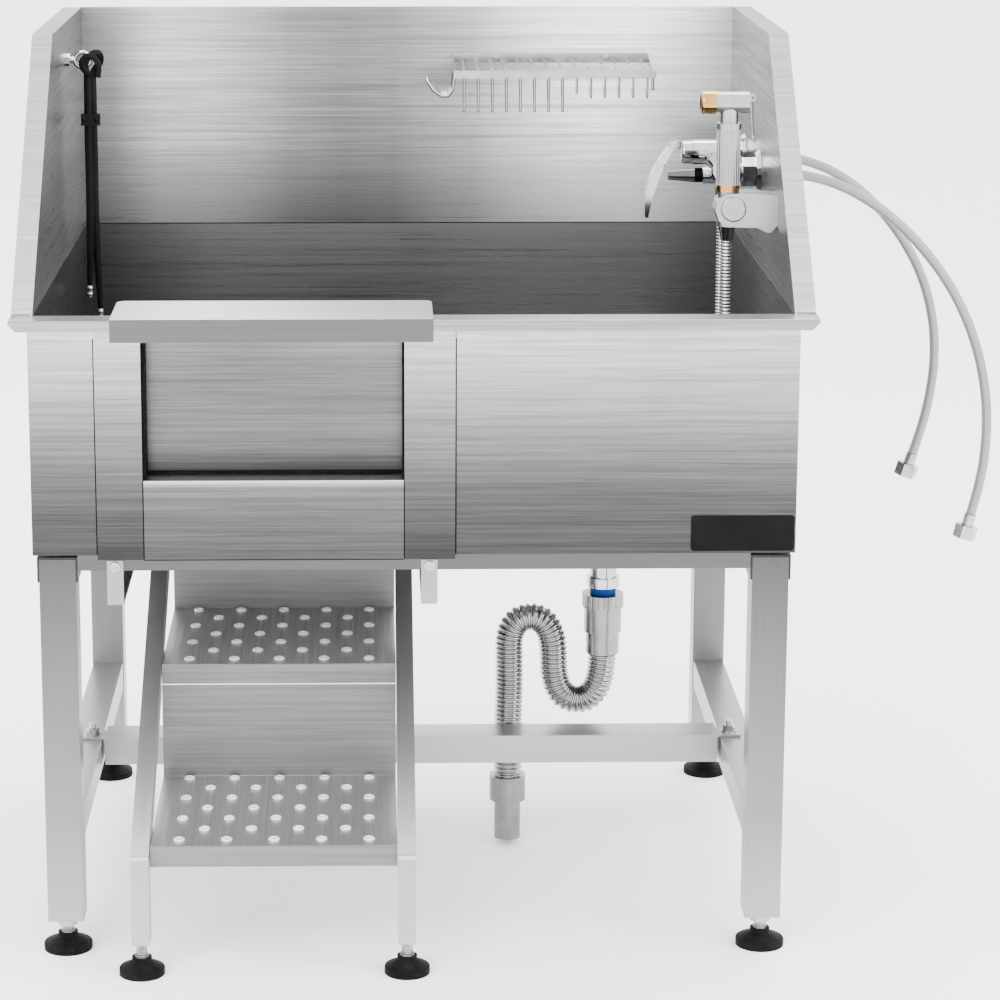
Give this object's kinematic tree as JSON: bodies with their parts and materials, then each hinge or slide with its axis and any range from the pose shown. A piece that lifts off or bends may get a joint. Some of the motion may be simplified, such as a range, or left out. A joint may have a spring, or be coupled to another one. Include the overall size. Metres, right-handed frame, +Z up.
{
  "type": "pet bathtub",
  "caption": "Raised sheet-steel dog bath on square legs, with a lift-out door, a sliding step ladder, splash walls, a mixer with a hand spray, a tool rack, a lead and a drain.",
  "frame": {"origin": "the middle of the footprint on the floor, with the ladder out and without the hoses", "axes": "+X to the right as seen from the door, +Y from the door to the back wall, +Z up"},
  "size_m": [1.1263, 0.744, 0.996],
  "materials": {
    "brushed_sheet": "long horizontal brushed grain",
    "frame_tube": "satin",
    "dark_plate": "dull",
    "bright_steel": "polished",
    "badge_plate": "plain black",
    "nylon": "plain",
    "foot_rubber": "matte, with a steel stud",
    "chrome": "mirror",
    "dark_chrome": "dark mirror",
    "black_plastic": "ribbed",
    "satin_steel": "satin",
    "gold_brass": "polished",
    "ribbed_hose": "ribbed",
    "braid": "woven wire",
    "black_leather": "soft",
    "blue_rubber": "plain",
    "plated_plastic": "plated"
  },
  "bodies": {
    "tub": {"back_splash": "brushed_sheet", "badge": "badge_plate", "cross_rail": "frame_tube", "door_guides": "brushed_sheet", "door_posts": "brushed_sheet", "door_sill": "brushed_sheet", "drain_body": "chrome", "drain_hose": "plated_plastic", "drain_seal": "blue_rubber", "eye_bolt": "chrome", "front_aprons": "brushed_sheet", "guide_channels": "dark_plate", "handset_holder": "satin_steel", "hex_bolts": "bright_steel", "hose_nut_front": "bright_steel", "hose_nut_rear": "bright_steel", "lead_beads": "bright_steel", "lead_strap_left": "black_leather", "lead_strap_right": "black_leather", "left_splash": "brushed_sheet", "leg_sockets": "dark_plate", "legs": "frame_tube", "lower_side_rails": "frame_tube", "mixer_body": "chrome", "mixer_unions": "chrome", "pan_screws": "bright_steel", "right_splash": "brushed_sheet", "shower_hose": "ribbed_hose", "slip_nut": "plated_plastic", "supply_hose_front": "braid", "supply_hose_rear": "braid", "tail_pipe": "plated_plastic", "tool_rack": "bright_steel", "top_rails": "frame_tube", "tub_basin": "brushed_sheet", "tub_spout": "dark_chrome"},
    "door": {"door_panel": "brushed_sheet", "door_inner_panel": "brushed_sheet", "door_cap": "brushed_sheet"},
    "ladder": {"ladder_stringer_left": "frame_tube", "ladder_stringer_right": "frame_tube", "lower_step": "brushed_sheet", "upper_step": "brushed_sheet", "top_riser": "brushed_sheet"},
    "rollers": {"ladder_rollers": "nylon"},
    "lever_hub": {"lever_hub": "chrome"},
    "lever": {"mixer_lever": "chrome"},
    "spout_collar": {"spout_collar": "black_plastic"},
    "handset": {"handset_handle": "satin_steel", "handset_head": "satin_steel", "handset_rings": "gold_brass"},
    "trigger": {"handset_trigger": "dark_chrome"},
    "strainer": {"strainer_basket": "bright_steel"},
    "lead_slider": {"lead_slider": "black_leather"},
    "ladder_foot_left": {"ladder_foot_left": "foot_rubber"},
    "ladder_foot_right": {"ladder_foot_right": "foot_rubber"},
    "foot_front_left": {"foot_front_left": "foot_rubber"},
    "foot_front_right": {"foot_front_right": "foot_rubber"},
    "foot_rear_left": {"foot_rear_left": "foot_rubber"},
    "foot_rear_right": {"foot_rear_right": "foot_rubber"}
  },
  "joints": [
    {"name": "door_lift", "type": "slide", "parent": "tub", "child": "door", "axis": [0, 0, 1], "range_m": [0, 0.26]},
    {"name": "ladder_slide", "type": "slide", "parent": "tub", "child": "ladder", "axis": [0, 1, 0], "range_m": [0, 0.088]},
    {"name": "roller_turn", "type": "hinge", "parent": "ladder", "child": "rollers", "pos_m": [-0.155, 0.139, 0.4225], "axis": [1, 0, 0], "range_deg": [-325, 5]},
    {"name": "lever_turn", "type": "hinge", "parent": "tub", "child": "lever_hub", "pos_m": [0.331, 0.136, 0.842], "axis": [1, 0, 0], "range_deg": [-30, 30]},
    {"name": "lever_tilt", "type": "hinge", "parent": "lever_hub", "child": "lever", "pos_m": [0.317, 0.136, 0.851], "axis": [0, 1, 0], "range_deg": [0, 22]},
    {"name": "spout_collar_turn", "type": "hinge", "parent": "tub", "child": "spout_collar", "pos_m": [0.342, 0.1, 0.819], "axis": [1, 0, 0], "range_deg": [0, 90]},
    {"name": "handset_turn", "type": "hinge", "parent": "tub", "child": "handset", "pos_m": [0.354, -0.103, 0.81], "axis": [0, 0, 1], "range_deg": [-50, 50]},
    {"name": "trigger_squeeze", "type": "hinge", "parent": "handset", "child": "trigger", "pos_m": [0.379, -0.103, 0.935], "axis": [0, 1, 0], "range_deg": [0, 8], "stiffness_Nm_per_rad": 0.2, "springref_deg": -8.59},
    {"name": "strainer_lift", "type": "slide", "parent": "tub", "child": "strainer", "axis": [0, 0, 1], "range_m": [0, 0.06]},
    {"name": "slider_slide", "type": "slide", "parent": "tub", "child": "lead_slider", "axis": [0, 0, 1], "range_m": [-0.1, 0.03]},
    {"name": "ladder_foot_left_turn", "type": "hinge", "parent": "ladder", "child": "ladder_foot_left", "pos_m": [-0.3, -0.347, 0.03], "axis": [0, 0, 1], "continuous": true},
    {"name": "ladder_foot_right_turn", "type": "hinge", "parent": "ladder", "child": "ladder_foot_right", "pos_m": [-0.009, -0.347, 0.03], "axis": [0, 0, 1], "continuous": true},
    {"name": "foot_front_left_turn", "type": "hinge", "parent": "tub", "child": "foot_front_left", "pos_m": [-0.388, -0.271, 0.03], "axis": [0, 0, 1], "continuous": true},
    {"name": "foot_front_right_turn", "type": "hinge", "parent": "tub", "child": "foot_front_right", "pos_m": [0.388, -0.271, 0.03], "axis": [0, 0, 1], "continuous": true},
    {"name": "foot_rear_left_turn", "type": "hinge", "parent": "tub", "child": "foot_rear_left", "pos_m": [-0.388, 0.321, 0.03], "axis": [0, 0, 1], "continuous": true},
    {"name": "foot_rear_right_turn", "type": "hinge", "parent": "tub", "child": "foot_rear_right", "pos_m": [0.388, 0.321, 0.03], "axis": [0, 0, 1], "continuous": true}
  ],
  "couplings": [
    {"joint": "roller_turn", "follows": "ladder_slide", "rad_per_m": -63.49}
  ]
}
